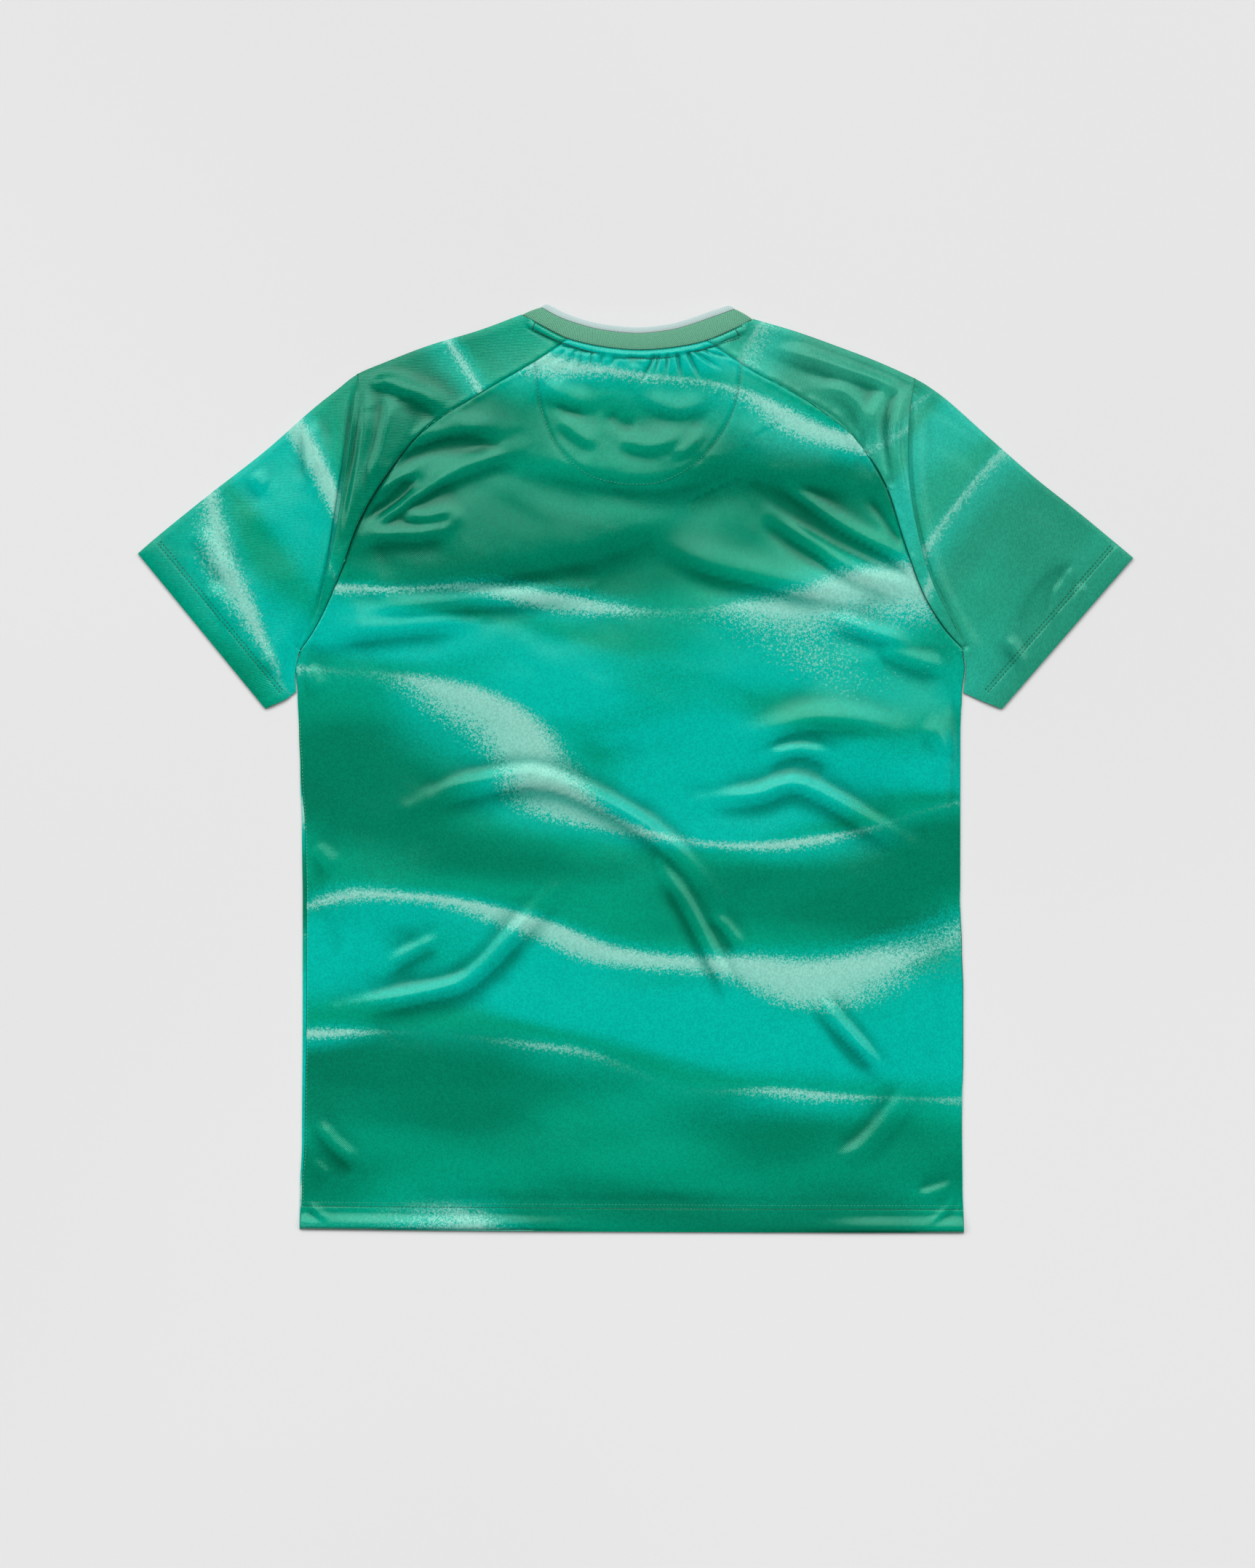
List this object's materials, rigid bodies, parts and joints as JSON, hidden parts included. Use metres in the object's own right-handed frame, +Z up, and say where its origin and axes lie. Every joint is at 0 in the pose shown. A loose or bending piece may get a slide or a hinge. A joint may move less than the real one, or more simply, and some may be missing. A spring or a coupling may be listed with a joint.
{
  "type": "training t-shirt",
  "caption": "Short-sleeved training T-shirt with raglan sleeves and a ribbed crew collar, laid flat with its back upwards.",
  "frame": {"origin": "on the surface the shirt lies on, under the middle of its outline", "axes": "+Z up, out of the shirt's back; +Y towards the neck; +X from one cuff to the other, to the right of someone who looks down on the back with the neck away from them"},
  "size_m": [0.8092, 0.7554, 0.0092],
  "materials": {
    "knit": "mesh-knitted polyester with a satin sheen, printed all over in greens",
    "collar_rib": "matt fine rib, dusty green",
    "pale_rib": "matt fine rib, off-white with a green cast"
  },
  "bodies": {
    "root": {"front_panel": "knit", "back_panel": "knit", "sleeve_left": "knit", "sleeve_right": "knit", "collar_band": "collar_rib", "collar_edge": "pale_rib"}
  },
  "joints": []
}
